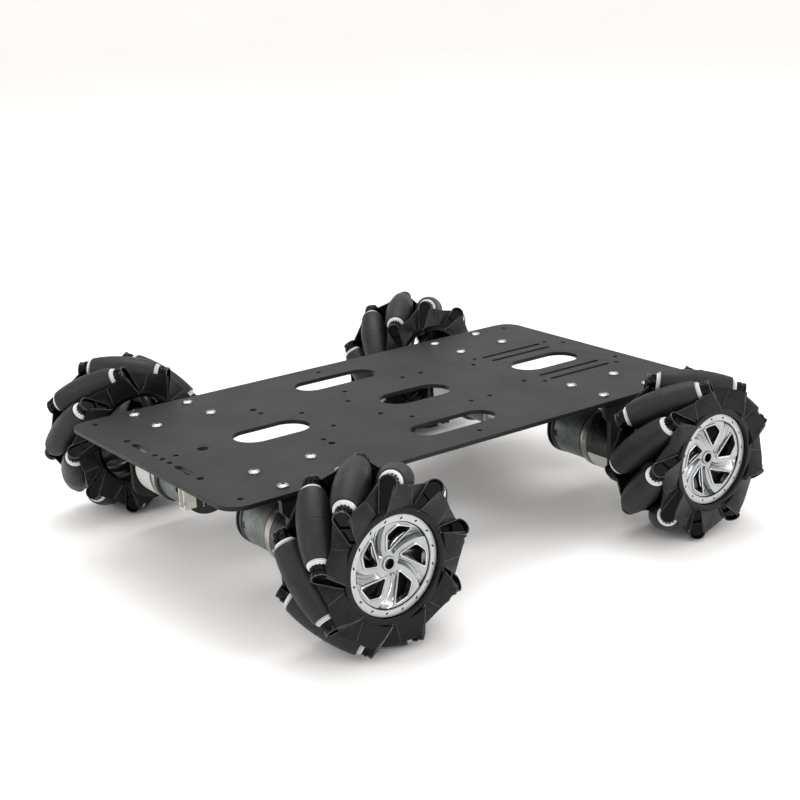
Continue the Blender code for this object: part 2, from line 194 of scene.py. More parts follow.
def brushed_finish(name, colour, roughness, stretch, depth=0.00001, **sockets):
    """A turned or drawn metal: hair lines along one direction."""
    made = Finish(name, colour, roughness, 1.0, **sockets)
    lines = made.noise(1.0, 6.0, stretch=stretch)
    made.tint(lines, 0.88, 1.1)
    made.rough(lines, roughness * 0.75, roughness * 1.35)
    made.bump(lines, depth)
    return made.mat


def zinc_finish():
    """Galvanised steel: soft crystal patches of slightly different grey."""
    made = Finish("zinc_plate", (0.165, 0.187, 0.179), 0.42, 0.85)
    made.tint(made.cells(420.0), 0.86, 1.12)
    made.rough(made.noise(90.0, 5.0), 0.36, 0.52)
    made.bump(made.noise(700.0, 4.0), 0.00002)
    return made.mat


MATS = {
    "deck": deck_finish("deck_anodised", (0.017, 0.0172, 0.0188), 0.5),
    # A darker copy of the deck's finish for its sides, broken edges and hole and slot walls: painted
    # shade.
    "deck_side_shade": deck_finish("deck_side_painted_shade", (0.009, 0.009, 0.010), 0.4),
    "powder": plain_finish("bracket_powder_coat", (0.010, 0.010, 0.011), 0.42, grain=1500.0,
                           depth=0.00005, Specular_IOR_Level=0.35),
    "rubber": surface("roller_rubber", (0.0072, 0.0072, 0.0078), 0.0, (160.0, 6.0, 0.8, 1.35),
                      (70.0, 5.0, 0.42, 0.56), (1900.0, 5.0, 0.00006, 0.8), Specular_IOR_Level=0.3),
    "gloss": plain_finish("finger_nylon", (0.0012, 0.0013, 0.0017), 0.09, grain=400.0,
                          depth=0.000012, Specular_IOR_Level=0.16),
    "web": surface("web_nylon", (0.0068, 0.0072, 0.0083), 0.0, (110.0, 5.0, 0.85, 1.2),
                   (55.0, 5.0, 0.2, 0.34), (2400.0, 3.0, 0.00003, 0.6), Specular_IOR_Level=0.16),
    # Lighter nylon for the raised lines on the side plates: painted edge highlights.
    "highlight_bead": plain_finish("bead_nylon_painted_highlight", (0.04, 0.042, 0.046), 0.2, grain=400.0),
    "drum": plain_finish("drum_nylon", (0.0022, 0.0022, 0.0026), 0.2, Specular_IOR_Level=0.2),
    "white": plain_finish("white_nylon", (0.60, 0.61, 0.605), 0.34, grain=700.0),
    "ring": plain_finish("rim_satin_plate", (0.47, 0.485, 0.495), 0.46, 1.0, grain=1400.0,
                         depth=0.00001),
    "vane": plain_finish("vane_chrome", (0.36, 0.375, 0.385), 0.2, 1.0, grain=260.0, depth=0.00003),
    # Lighter copy of the vanes' chrome for the ridges and window frames: painted highlight along their
    # crests.
    "ridge": plain_finish("ridge_chrome_painted_highlight", (0.58, 0.59, 0.61), 0.22, 1.0, grain=300.0),
    "carrier": plain_finish("carrier_plating", (0.21, 0.22, 0.225), 0.3, 1.0, grain=300.0),
    # Near-black for the ring's inner step, its pockets and the hub's bore: painted shade in recesses.
    "painted_shade": plain_finish("recess_painted_shade", (0.0025, 0.0025, 0.003), 0.6, Specular_IOR_Level=0.1),
    "steel": brushed_finish("turned_steel", (0.5, 0.49, 0.46), 0.3, (40.0, 2600.0, 40.0)),
    "gearbox": brushed_finish("gearbox_plate", (0.075, 0.076, 0.073), 0.3, (60.0, 2200.0, 60.0)),
    "chrome": brushed_finish("gearbox_band", (0.36, 0.35, 0.325), 0.28, (30.0, 2600.0, 30.0)),
    "zinc": zinc_finish(),
    "label": plain_finish("blank_label", (0.56, 0.55, 0.53), 0.42, 0.1, grain=500.0),
    "cap": plain_finish("end_cap_plastic", (0.012, 0.012, 0.013), 0.33, grain=600.0),
    "board": plain_finish("circuit_board", (0.006, 0.0075, 0.008), 0.24, grain=500.0),
    "connector": plain_finish("connector_nylon", (0.70, 0.69, 0.63), 0.42, grain=500.0),
    "tin": plain_finish("tinned_metal", (0.62, 0.62, 0.6), 0.28, 1.0, grain=500.0),
    "chip": plain_finish("chip_plastic", (0.02, 0.02, 0.022), 0.45, grain=900.0),
    "nickel": brushed_finish("nickel_screw", (0.50, 0.485, 0.445), 0.24, (300.0, 300.0, 300.0)),
    "black_steel": plain_finish("black_oxide", (0.03, 0.03, 0.032), 0.4, 0.8, grain=700.0),
}


# ---------------------------------------------------------------- mesh helpers
def spot(radius, angle):
    """The flat point at a distance and an angle, in radians, from the origin."""
    return radius * math.cos(angle), radius * math.sin(angle)


def ray(radius, degrees):
    """The same with the angle in degrees."""
    return spot(radius, math.radians(degrees))


def arc(cx, cy, radius, first, last, steps):
    """Points along part of a circle, between two angles in degrees."""
    points = [ray(radius, first + (last - first) * k / steps) for k in range(steps + 1)]
    return [(cx + x, cy + y) for x, y in points]


def circle_loop(cx, cy, radius, sides=28):
    return [(cx + x, cy + y) for x, y in [spot(radius, TAU * k / sides) for k in range(sides)]]


def rounded_loop(cx, cy, length, width, radius, steps=10):
    """The outline of a rectangle whose corners are arcs."""
    points = []
    for corner, (sx, sy) in enumerate(((1, 1), (-1, 1), (-1, -1), (1, -1))):
        points += arc(cx + sx * (length / 2 - radius), cy + sy * (width / 2 - radius), radius,
                      90 * corner, 90 * corner + 90, steps)
    return [p for p, q in zip(points, points[-1:] + points) if math.dist(p, q) > 1e-6]


def linked(name, data):
    """A new object in the scene."""
    made = bpy.data.objects.new(name, data)
    bpy.context.scene.collection.objects.link(made)
    return made


def finish_mesh(bm, name, sharp=30.0):
    bmesh.ops.recalc_face_normals(bm, faces=bm.faces)
    mesh = bpy.data.meshes.new(name)
    bm.to_mesh(mesh)
    bm.free()
    mesh.shade_smooth()
    mesh.set_sharp_from_angle(angle=math.radians(sharp))
    return mesh


def axis_matrix(centre, direction, side=None):
    """Places a shape's own Z along direction, and its X as near side as it can be."""
    z = Vector(direction).normalized()
    x = Vector(side) if side else z.orthogonal()
    x = (x - z * x.dot(z)).normalized()
    turn = Matrix((x, z.cross(x), z)).transposed().to_4x4()
    return Matrix.Translation(centre) @ turn


WHEEL_LAY = axis_matrix((0, 0, 0), (0, 1, 0))     # a turned part's own Z along the wheel's Y


def bridge(bm, low, high):
    """Faces between two loops of the same number of corners."""
    for corners in zip(low, low[1:] + low[:1], high[1:] + high[:1], high):
        bm.faces.new(list(dict.fromkeys(corners)))


def lathe(name, profile, sides=48, place=Matrix(), sharp=30.0):
    """Turns a closed loop of (radius, height) points about Z; radius 0 closes on the axis."""
    bm = bmesh.new()
    rings = []
    for radius, height in profile:
        if radius < 1e-7:
            rings.append([bm.verts.new((0, 0, height))] * sides)
        else:
            rings.append([bm.verts.new((x, y, height)) for x, y in circle_loop(0, 0, radius, sides)])
    pairs = list(zip(rings, rings[1:]))
    if profile[0][0] > 1e-7:
        pairs.append((rings[-1], rings[0]))
    for low, high in pairs:
        bridge(bm, low, high)
    bmesh.ops.transform(bm, matrix=place, verts=bm.verts)
    return finish_mesh(bm, name, sharp)


def neighbours(loop):
    """Each point of a closed loop, between the one before and the one after it."""
    return zip(loop[-1:] + loop, loop, loop[1:] + loop[:1])


def rounded(points, radius, steps=2):
    """Rounds the corners of a loop of flat points, but for those on the axis, with short arcs."""
    made = []
    for before, here, after in neighbours([Vector(point) for point in points]):
        before, after = before - here, after - here
        cut = min(radius, before.length * 0.45, after.length * 0.45)
        if cut < 1e-6 or here.x < 1e-7:
            made.append(tuple(here))
            continue
        start, end = here + before.normalized() * cut, here + after.normalized() * cut
        for step in range(steps + 1):
            t = step / steps
            made.append(tuple((1 - t) ** 2 * start + 2 * t * (1 - t) * here + t * t * end))
    return made


def turned(name, radii, span, edge=0.0, sides=40, place=WHEEL_LAY):
    """A plain ring between two radii, or a rod where the first radius is 0."""
    (inner, outer), (start, end) = radii, span
    loop = [(inner, start), (outer, start), (outer, end), (inner, end)]
    return lathe(name, rounded(loop, edge), sides, place)


def loft(name, low, high, material=0, bevel=0.0, segments=2):
    """A closed solid between two loops of the same number of points."""
    bm = bmesh.new()
    lower, upper = [bm.verts.new(p) for p in low], [bm.verts.new(p) for p in high]
    bm.faces.new(lower)
    bm.faces.new(upper)
    bridge(bm, lower, upper)
    return soften(bm, name, material, bevel, segments)


def soften(bm, name, material=0, bevel=0.0, segments=2):
    bmesh.ops.recalc_face_normals(bm, faces=bm.faces)
    if bevel:
        edges = [e for e in bm.edges if e.is_manifold and e.calc_face_angle() > math.radians(22)]
        bmesh.ops.bevel(bm, geom=edges, offset=bevel, segments=segments, profile=0.6,
                        affect="EDGES", clamp_overlap=True)
    for face in bm.faces:
        face.material_index = material
    return finish_mesh(bm, name)


def extruded(name, loop, span, put, **options):
    """The solid between two copies of a loop; put(x, y, height) gives a corner's place."""
    return loft(name, *[[put(x, y, height) for x, y in loop] for height in span], **options)


def hull(name, points, material=0, bevel=0.0):
    bm = bmesh.new()
    for point in points:
        bm.verts.new(point)
    bmesh.ops.convex_hull(bm, input=bm.verts)
    bmesh.ops.delete(bm, geom=[v for v in bm.verts if not v.link_faces], context="VERTS")
    bmesh.ops.dissolve_limit(bm, angle_limit=math.radians(1.0), verts=bm.verts, edges=bm.edges)
    return soften(bm, name, material, bevel)


def box(name, size, centre, bevel=0.0002):
    bm = bmesh.new()
    scale = Matrix.Diagonal((*size, 1.0))
    bmesh.ops.create_cube(bm, size=1.0, matrix=Matrix.Translation(centre) @ scale)
    return soften(bm, name, 0, bevel)


def moved(mesh, matrix):
    made = mesh.copy()
    made.transform(matrix)
    if matrix.determinant() < 0:
        made.flip_normals()
    return made


def painted(mesh, material):
    """A copy of a mesh with all its faces on one material slot."""
    made = mesh.copy()
    made.polygons.foreach_set("material_index", [material] * len(made.polygons))
    return made


def joined(name, meshes, sharp=30.0):
    """One mesh that holds all of these as separate shells."""
    bm = bmesh.new()
    for mesh in meshes:
        bm.from_mesh(mesh)
    return finish_mesh(bm, name, sharp)


def settled(objects):
    """The first object's evaluated shape as a bmesh. The objects are removed."""
    bpy.context.view_layer.update()
    seen = objects[0].evaluated_get(bpy.context.evaluated_depsgraph_get())
    mesh = bpy.data.meshes.new_from_object(seen)
    for item in objects:
        bpy.data.objects.remove(item, do_unlink=True)
    bm = bmesh.new()
    bm.from_mesh(mesh)
    bmesh.ops.remove_doubles(bm, verts=bm.verts, dist=1e-6)
    return bm


def carve(name, base, additions=(), cuts=(), materials=1):
    """Joins and cuts meshes with Boolean modifiers."""
    tools = []
    for mesh in (base, *additions, *cuts):
        for _ in range(materials - len(mesh.materials)):
            mesh.materials.append(None)
        tools.append(linked("tool", mesh))
    for number, tool in enumerate(tools[1:]):
        step = tools[0].modifiers.new("step", "BOOLEAN")
        step.operation = "UNION" if number < len(additions) else "DIFFERENCE"
        step.object = tool
    bm = settled(tools)
    bmesh.ops.dissolve_degenerate(bm, edges=bm.edges, dist=1e-6)
    return finish_mesh(bm, name)


def cut_sheet(name, loops, thickness, edge, place):
    """A flat cut sheet with broken edges: the first loop is its outline, the others holes."""
    curve = bpy.data.curves.new(name, "CURVE")
    curve.dimensions = "2D"
    curve.fill_mode = "BOTH"
    curve.extrude = thickness / 2 - edge
    curve.bevel_depth = edge
    curve.bevel_resolution = 1
    curve.offset = -edge
    for number, loop in enumerate(loops):
        line = curve.splines.new("POLY")
        line.points.add(len(loop) - 1)
        for point, (x, y) in zip(line.points, loop[::-1] if number else loop):
            point.co = (x, y, 0, 1)
        line.use_cyclic_u = True
    bm = settled([linked(name, curve)])
    bmesh.ops.transform(bm, matrix=place, verts=bm.verts)
    return finish_mesh(bm, name, 12.0)


def piece(name, mesh, mats, body, place=Matrix(), replaces=()):
    """Adds an object for a mesh in its place, with its materials, and lets it ride on its body."""
    mesh = moved(mesh, place)
    for index, mat in enumerate(mats if isinstance(mats, list) else [mats]):
        if index < len(mesh.materials):
            mesh.materials[index] = MATS[mat]
        else:
            mesh.materials.append(MATS[mat])
    obj = linked(name, mesh)
    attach(obj, body)
    if replaces:
        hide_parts(*replaces)


# ---------------------------------------------------------------- deck and its screws
def screw_places(x_side, y_side):
    return [(x_side * x, y_side * y) for x in SCREW_X for y in SCREW_Y]


def make_deck():
    low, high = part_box("top_plate")
    holes = HOLES + [(x, side * y, r) for x, y, r in MIRRORED_HOLES for side in (-1, 1)]
    holes += [(x, y, SCREW_HOLE) for corner in CORNERS for x, y in screw_places(*signs(corner))]
    slots = SLOTS + [(x, side * y, a, b) for x, y, a, b in MIRRORED_SLOTS for side in (-1, 1)]
    slots += [(x, side * y, b, a) for x, y, a, b in END_SLOTS for side in (-1, 1)]
    loops = [rounded_loop(0, 0, high.x - low.x, high.y - low.y, DECK_CORNER, 14)]
    loops += [circle_loop(*hole) for hole in holes]
    loops += [rounded_loop(*slot, min(slot[2:]) / 2) for slot in slots]
    middle = Matrix.Translation((0, 0, (low.z + high.z) / 2))
    mesh = cut_sheet("deck_plate", loops, high.z - low.z, 0.00022, middle)
    # Faces that don't face up or down take the darker copy: painted shade on the sides and walls.
    for face in mesh.polygons:
        face.material_index = 0 if abs(face.normal.z) > 0.9 else 1
    piece("deck_plate", mesh, ["deck", "deck_side_shade"], "root", replaces=["top_plate"])
    return high.z


def signs(corner):
    """Which way a corner lies along X and Y."""
    return (1 if "front" in corner else -1), (1 if "left" in corner else -1)


def hexagon(name, across, span, place=Matrix(), bevel=0.0):
    """A hexagonal bar between two heights, its size measured across the flats."""
    return extruded(name, circle_loop(0, 0, across / math.sqrt(3), 6), span,
                    lambda x, y, z: place @ Vector((x, y, z)), bevel=bevel)


def button_head(radius=0.0032, height=0.0018, socket=0.0022):
    """A round-headed screw with a hexagon socket, its seat at height 0."""
    dome = [(radius * math.cos(a), 0.0004 + (height - 0.0004) * math.sin(a) ** 0.85)
            for a in [math.radians(8 * k) for k in range(9)]]
    profile = [(0, -0.0005), (0.0015, -0.0005), (0.0015, 0), (radius * 0.96, 0), (radius, 0.0002)]
    profile += dome + [(radius * 0.42, height), (0, height)]
    hollow = hexagon("socket", socket, (height - 0.0011, height + 0.001))
    return carve("button_head", lathe("head", profile, 36), cuts=[hollow])


def nut_with_stud(across=0.0055, height=0.0024):
    nut = hexagon("nut", across, (-height, 0), bevel=0.0003)
    stud = turned("stud", (0, 0.00145), (-height - 0.0016, -0.001), 0.0003, 20, Matrix())
    return joined("nut", [nut, stud])


def make_fasteners(deck_high, flange_low):
    head, nut = button_head(), nut_with_stud()
    for corner in CORNERS:
        places = screw_places(*signs(corner))
        heads = [moved(head, Matrix.Translation((x, y, deck_high)) @ Matrix.Rotation(x * 90, 4, "Z"))
                 for x, y in places]
        nuts = [moved(nut, Matrix.Translation((x, y, flange_low)) @ Matrix.Rotation(y * 70, 4, "Z"))
                for x, y in places]
        piece(corner + "_deck_screws", joined("screws", heads + nuts), "nickel", "root")


# ---------------------------------------------------------------- brackets
def bracket_mesh(low, high, axle, thickness=BRACKET_THICKNESS, bend=0.0035):
    """The L bracket at a left corner: a flange under the deck, a bend, and an upright wall."""
    width = 0.040
    top, outer = high.z, high.y
    section = [(low.y, top)] + arc(outer - bend, top - bend, bend, 90, 0, 6)
    section += [(outer, low.z), (outer - thickness, low.z)]
    section += arc(outer - bend, top - bend, bend - thickness, 0, 90, 6) + [(low.y, top - thickness)]
    body = extruded("bend", section, (low.x, high.x), lambda y, z, x: (x, y, z), bevel=0.0002,
                    segments=1)
    shoulder, corner = 0.012, 0.010
    side_cuts = []
    for side, x in ((-1, low.x), (1, high.x)):
        edge = axle.x + side * width / 2
        beyond = x + side * 0.002
        outline = [(edge, top - shoulder), (beyond, top - shoulder + 0.006), (beyond, low.z - 0.002),
                   (edge - side * corner, low.z - 0.002)]
        outline += arc(edge - side * corner, low.z + corner, corner, -90, -90 + 90 * side, 6)
        side_cuts.append(extruded("corner", outline, (outer - thickness - 0.002, outer + 0.002),
                                  lambda x, z, y: (x, y, z)))
    upright = axis_matrix((axle.x, outer, axle.z), (0, 1, 0))
    side_cuts.append(turned("hole", (0, 0.0071), (-0.006, 0.003), place=upright))
    return carve("bracket", body, cuts=side_cuts)


def face_screws(low_face, axle_x, motor_z):
    """Six pan heads that hold the gearbox to the bracket's wall."""
    head = button_head(0.0027, 0.0015, 0.0018)
    return joined("face_screws", [
        moved(head, axis_matrix((axle_x + x, low_face, motor_z + z), (0, 1, 0)))
        for x, z in [ray(0.0155, 60 * k + 30) for k in range(6)]])


# ---------------------------------------------------------------- motors
def motor_parts(centre, face):
    """Meshes of a left gear motor, keyed by piece name, with the materials they take.

    centre is the motor's own axis at y 0, and face the gearbox's outboard face."""
    lay = axis_matrix(centre, (0, 1, 0), side=(0, 0, 1))
    parts = {}
    end, neck = face - GEARBOX_LENGTH, face - 0.0187
    box_profile = rounded([(0, face), (0.0185, face), (0.0185, neck), (0.01842, neck - 0.0003),
                           (0.01842, end + 0.0012), (0.0175, end + 0.0006), (0.0175, end), (0, end)],
                          0.0004)
    parts["gearbox"] = (lathe("gearbox", box_profile, 96, lay), "gearbox")
    parts["gearbox_band"] = (turned("band", (0.0184, 0.01865), (end + 0.0012, end + 0.0058), 0.0001,
                                    96, lay), "chrome")
    parts["gearbox_seal"] = (turned("seal", (0.0150, 0.01795), (end - 0.0009, end + 0.0009), 0.0003,
                                    96, lay), "cap")
    parts["label"] = (label_mesh(lay, end + 0.0068, face - 0.0012), "label")
    can_end = end - CAN_LENGTH
    can_profile = rounded([(0.0150, end - 0.0007), (CAN_RADIUS, end - 0.0007), (CAN_RADIUS, can_end),
                           (0.0164, can_end - 0.0001), (0.0150, can_end)], 0.0003)
    across = lay @ Matrix.Rotation(math.radians(90), 4, "Z")
    notches = [moved(box("notch", (0.006, 0.0042, 0.0036), (x, 0.0, can_end + 0.0008), 0.0), across)
               for x in (CAN_RADIUS, -CAN_RADIUS)]
    parts["can"] = (carve("can", lathe("can", can_profile, 96, lay), cuts=notches), "zinc")
    cap_end = can_end - CAP_LENGTH
    cap = rounded([(0, can_end + 0.0015), (0.0163, can_end + 0.0015), (0.0163, can_end - 0.0008),
                   (0.0171, can_end - 0.0010), (0.0171, cap_end + 0.0012), (0.0163, cap_end + 0.0008),
                   (0.0163, cap_end), (0, cap_end)], 0.0003)
    parts["end_cap"] = (lathe("end_cap", cap, 96, lay), "cap")
    board_low = cap_end - 0.0022
    board = turned("board", (0, 0.0172), (board_low + 0.0014, board_low), 0.00015, 72, lay)
    shell, pins = connector_meshes(lay, board_low)
    chips, solder = board_details(lay, board_low)
    spacers = [turned("spacer", (0, 0.002), (cap_end + 0.0005, board_low + 0.001), 0.0, 20,
                      lay @ Matrix.Translation((*spot(0.012, a), 0)))
               for a in (0.6, 2.7, 4.8)]
    bare = [painted(mesh, 2) for mesh in [pins, solder] + spacers]
    parts["connector"] = (shell, "connector")
    parts["encoder_board"] = (joined("board", [board, painted(chips, 1)] + bare),
                              ["board", "chip", "tin"])
    above = axis_matrix((centre[0], 0, centre[2] + SHAFT_RISE), (0, 1, 0))
    parts["shaft_boss"] = (turned("shaft_boss", (0, 0.006), (face - 0.001, face + 0.0044), 0.0004,
                                  place=above), "steel")
    return parts


def label_mesh(lay, start, end, radius=0.01858, first=105, last=315, steps=54):
    """A thin blank label wrapped round the gearbox."""
    outer, inner = [arc(0, 0, r, first, last, steps) for r in (radius, radius - 0.00012)]
    outline = outer + inner[::-1]
    bm = bmesh.new()
    low, high = [[bm.verts.new((x, y, z)) for x, y in outline] for z in (start, end)]
    bridge(bm, low, high)
    count = len(outline)
    for ring in (low, high):
        for k in range(steps):
            bm.faces.new([ring[k], ring[k + 1], ring[count - 2 - k], ring[count - 1 - k]])
    bmesh.ops.transform(bm, matrix=lay, verts=bm.verts)
    return finish_mesh(bm, "label")


def connector_meshes(lay, board_low, pins=6, pitch=0.0025):
    """An open six-way header on the board's edge: X runs up, and it opens towards -Y."""
    length, width, depth = pins * pitch + 0.0024, 0.0080, 0.0062
    y, z = -0.0160, board_low - depth / 2
    outer = box("shell", (length, width, depth), (0, y, z), 0.0003)
    hollow = box("hollow", (length - 0.0018, width, depth - 0.0018), (0, y - 0.0012, z), 0.0)
    slits = [box("slit", (0.0012, 0.0036, 0.002), (side * 0.0045, y - width / 2, z - depth / 2), 0.0)
             for side in (-1, 1)]
    shell = moved(carve("connector", outer, cuts=[hollow] + slits), lay)
    rods = [box("pin", (0.0006, width - 0.002, 0.0006), ((k - (pins - 1) / 2) * pitch, y + 0.0003, z),
                0.0001) for k in range(pins)]
    return shell, moved(joined("pins", rods), lay)


def board_details(lay, board_low):
    """Two hall sensors, a few small chips and their solder joints."""
    spots = [(0.0085, 0.004, 0.004, 0.003), (-0.0085, 0.004, 0.004, 0.003), (0.004, 0.0105, 0.003, 0.002),
             (-0.004, 0.0105, 0.003, 0.002), (0.0, 0.0065, 0.0024, 0.0024),
             (-0.0105, -0.003, 0.0024, 0.002), (-0.0128, 0.0065, 0.002, 0.0024)]
    chips = [box("chip", (a, b, 0.001), (x, y, board_low - 0.0005), 0.00015) for x, y, a, b in spots]
    dots = [box("pad", (0.0010, 0.0012, 0.0005),
                (x + shift * a * 0.3, y + side * (b / 2 + 0.0003), board_low - 0.0002), 0.0001)
            for x, y, a, b in spots for side in (-1, 1) for shift in (-1, 1)]
    shaft = turned("shaft", (0, 0.0016), (board_low - 0.0016, board_low + 0.001), 0.0003, 24, Matrix())
    return moved(joined("chips", chips), lay), moved(joined("solder", dots + [shaft]), lay)


def make_drives():
    """Brackets and motors: built for the front left corner and turned or mirrored to the others."""
    model = "front_left"
    low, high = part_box(model + "_motor_bracket")
    motor_low, motor_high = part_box(model + "_gear_motor")
    spin = Vector(JOINTS[model + "_wheel_spin"]["pos_m"])
    bracket = bracket_mesh(low, high, spin)
    radius = (motor_high.x - motor_low.x) / 2
    motor_axis = (spin.x, 0.0, motor_low.z + radius)
    face = high.y - BRACKET_THICKNESS - GAP
    parts = motor_parts(motor_axis, face)
    screws = face_screws(high.y, spin.x, motor_axis[2])
    for corner in CORNERS:
        sx, sy = signs(corner)
        piece(corner + "_bracket", bracket, "powder", "root", Matrix.Diagonal((sx, sy, 1, 1)),
              [corner + "_motor_bracket"])
        # A motor isn't mirrored: the one on the other side is the same motor turned about Z.
        shift = Matrix.Translation((sx * spin.x, 0, 0))
        turn = shift @ Matrix.Rotation(0 if sy > 0 else math.pi, 4, "Z") @ Matrix.Translation(
            (-spin.x, 0, 0))
        for name, (mesh, mat) in parts.items():
            stands_for = [corner + "_gear_motor"] if name == "gearbox" else []
            piece(f"{corner}_{name}", mesh, mat, "root", turn, stands_for)
        piece(corner + "_gearbox_screws", screws, "black_steel", "root", turn)


# ---------------------------------------------------------------- wheel geometry
def wheel_matrix(corner):
    """The wheel's own frame, and which way its rollers lean."""
    centre = Vector(JOINTS[corner + "_wheel_spin"]["pos_m"])
    first = JOINTS[corner + "_roller_1_spin"]
    y = Vector((0, math.copysign(1, centre.y), 0))
    x = (Vector(first["pos_m"]) - centre).normalized()
    z = x.cross(y)
    place = Matrix.Translation(centre) @ Matrix((x, y, z)).transposed().to_4x4()
    axis = Vector(first["axis"])
    hand = -1 if axis.dot(y) * axis.dot(z) > 0 else 1
    return place, hand


def lean_axis(hand):
    return Vector((0, 1, -hand)).normalized(), Vector((0, 1, hand)).normalized()


def polar(radius, degrees, axial, hand):
    """A point at an angle from +X, counted the way roller 1's outer end leans."""
    x, z = ray(radius, degrees)
    return Vector((x, axial, -hand * z))


def on_roller(q, p, s, hand, turn=0.0):
    """A point beside a roller: q across it, p outwards from its axle, s along it."""
    along, across = lean_axis(hand)
    point = Vector((ROLLER_AXIS + p, 0, 0)) + across * q + along * s
    return Matrix.Rotation(math.radians(hand * turn), 4, "Y") @ point


def barrel_point(s):
    """A point (radius, distance along the axle) of the barrel that rolls on the tread circle."""
    reach = math.hypot(ROLLER_AXIS, s / math.sqrt(2))
    slope = s / (2 * reach)
    left = WHEEL_RADIUS - reach
    return left * math.sqrt(1 - slope * slope), s + left * slope


def rubber_mesh():
    """A crowned barrel with a faint mould line at its middle and rounded ends."""
    points = [barrel_point(0.0195 * k / 26) for k in range(-26, 27)]
    points = [point for point in points if abs(point[1]) < RUBBER_HALF - 0.0002]
    middle = len(points) // 2
    crown = points[middle][0]
    points[middle:middle + 1] = [(crown, -0.0004), (crown - 0.00012, -0.00015),
                                 (crown - 0.00012, 0.00015), (crown, 0.0004)]
    cap = [(points[-1][0] - 0.00035, RUBBER_HALF), (0.0034, RUBBER_HALF),
           (0.0030, RUBBER_HALF - 0.0004)]
    points = [(radius, -where) for radius, where in cap[::-1]] + points + cap
    return lathe("rubber", points, 56, sharp=40)


def flange_mesh():
    """The two white spacer rings of a roller, each with a groove round it."""
    loop = [(0.0022, 0), (0.0060, 0), (0.0061, 0.0004), (0.0048, 0.0005), (0.0048, 0.0008),
            (0.0059, 0.0009), (0.0057, FLANGE_WIDTH), (0.0022, FLANGE_WIDTH)]
    return joined("flanges", [
        lathe("ring", rounded([(r, side * (FLANGE_START + s)) for r, s in loop], 0.00015), 48)
        for side in (-1, 1)])


def washer_and_boss(hand):
    """One roller end outside the roller: a thin ring and the finger's ribbed boss."""
    along, _ = lean_axis(hand)
    place = axis_matrix((ROLLER_AXIS, 0, 0), along, side=(1, 0, 0))
    washer = turned("washer", (0.0020, 0.0050), (BOSS_START, BOSS_START + 0.0007), 0.0002, 40, place)
    ribs = 14
    outline = [spot(radius, TAU * (k + part) / ribs) for k in range(ribs)
               for part, radius in ((0.0, 0.0047), (0.38, 0.0047), (0.5, 0.0040), (0.88, 0.0040))]
    boss = extruded("boss", outline, (BOSS_START + 0.0007, FINGER_BACK + 0.0004),
                    lambda x, y, s: place @ Vector((x, y, s)))
    return washer, boss


def finger_outline(inset=0.0):
    """(across, outwards) points of a finger: a round head that narrows to its foot."""
    head = arc(-0.0006, -0.0006, 0.0047 - inset, 0, 180, 14)
    return head + [(-0.0004 + inset, -0.0162), (0.0030 - inset * 0.6, -0.0162)]


def finger_meshes(hand):
    """A finger and the two shallow pockets in its face."""
    def beside(q, p, s):
        return on_roller(q, p, s, hand)

    finger = extruded("finger", finger_outline(), (FINGER_BACK, FINGER_FACE), beside, bevel=0.0003)
    head = [(-0.0006 + 0.0037 * math.cos(a), -0.0003 + 0.0035 * math.sin(a))
            for a in [math.radians(-10 + 200 * k / 12) for k in range(13)]]
    loops = (head + [(-0.0030, -0.0056), (0.0026, -0.0062)],
             [(0.0028, -0.0074), (-0.0023, -0.0067), (-0.0004, -0.0142), (0.0022, -0.0146)])
    span = (FINGER_FACE - POCKET_DEPTH, FINGER_FACE + 0.001)
    return finger, [extruded("pocket", loop, span, beside) for loop in loops]


# A web's outer face is the plane through three (radius, degrees, height) points.
WEB_SPOTS = [(0.0309, 37.0, 0.0231), (0.0430, 25.4, 0.0227), (0.0412, 7.5, 0.0204)]
WEB_PLANE = Matrix([(1.0, *ray(r, d)) for r, d, _ in WEB_SPOTS]).inverted() @ Vector(
    [h for _, _, h in WEB_SPOTS])


def on_web(radius, degrees, hand, sink=0.0):
    """A point on a web's outer face, or sunk below it."""
    height = WEB_PLANE.dot(Vector((1.0, *ray(radius, degrees))))
    return polar(radius, degrees, height - sink, hand)


def web_mesh(hand):
    """The flat web beside a finger, which tilts down towards the next one."""
    edge = [(0.0432, 26.0), (0.0426, 21.0), (0.0419, 14.0), (0.0412, 7.5)]
    foot = [(LIP_OUTER - 0.0003, 3.9 + 33.1 * k / 8) for k in range(9)]
    top = [on_web(radius, degrees, hand) for radius, degrees in edge + foot]
    under = [on_web(radius, degrees, hand, 0.0016) for radius, degrees in edge]
    under += [polar(radius, degrees, 0.0175, hand) for radius, degrees in foot]
    return loft("web", under, top, material=1, bevel=0.0003)


def wedge_mesh(hand):
    """The small facet from a web's low edge down to the next finger's side."""
    tops = [on_web(LIP_OUTER - 0.0003, 3.9, hand, 0.0001), on_web(0.0412, 7.5, hand, 0.0001)]
    tops += [on_roller(-0.0046, -0.0016, FINGER_FACE - 0.0007, hand, -40),
             on_roller(-0.0002, -0.0156, FINGER_FACE - 0.0007, hand, -40)]
    return hull("wedge", tops + [p - Vector((0, 0.0016, 0)) for p in tops], material=1, bevel=0.00025)


def side_plate_mesh(hand):
    """Half the drum with its lip, nine fingers, nine webs and the facets between them."""
    profile = [(DRUM_INNER, SPLIT), (DRUM_INNER, LIP_FACE), (LIP_OUTER, LIP_FACE),
               (LIP_OUTER, 0.0172), (DRUM_OUTER, 0.0155), (DRUM_OUTER, SPLIT)]
    drum = painted(lathe("drum", rounded(profile[::-1], 0.0004), 90, WHEEL_LAY), 2)
    finger, pockets = finger_meshes(hand)
    shapes = nine_of([finger, web_mesh(hand), wedge_mesh(hand)])
    return carve("side_plate", drum, shapes, nine_of(pockets), materials=3)


def bar(start, end, width=0.00022):
    """A thin raised bead with a diamond section, from one point to another."""
    side = (end - start).cross(Vector((0, 1, 0))).normalized() * width
    rise = Vector((0, width, 0))
    return hull("bar", [p + way for p in (start, end) for way in (side, -side, rise, -rise)])


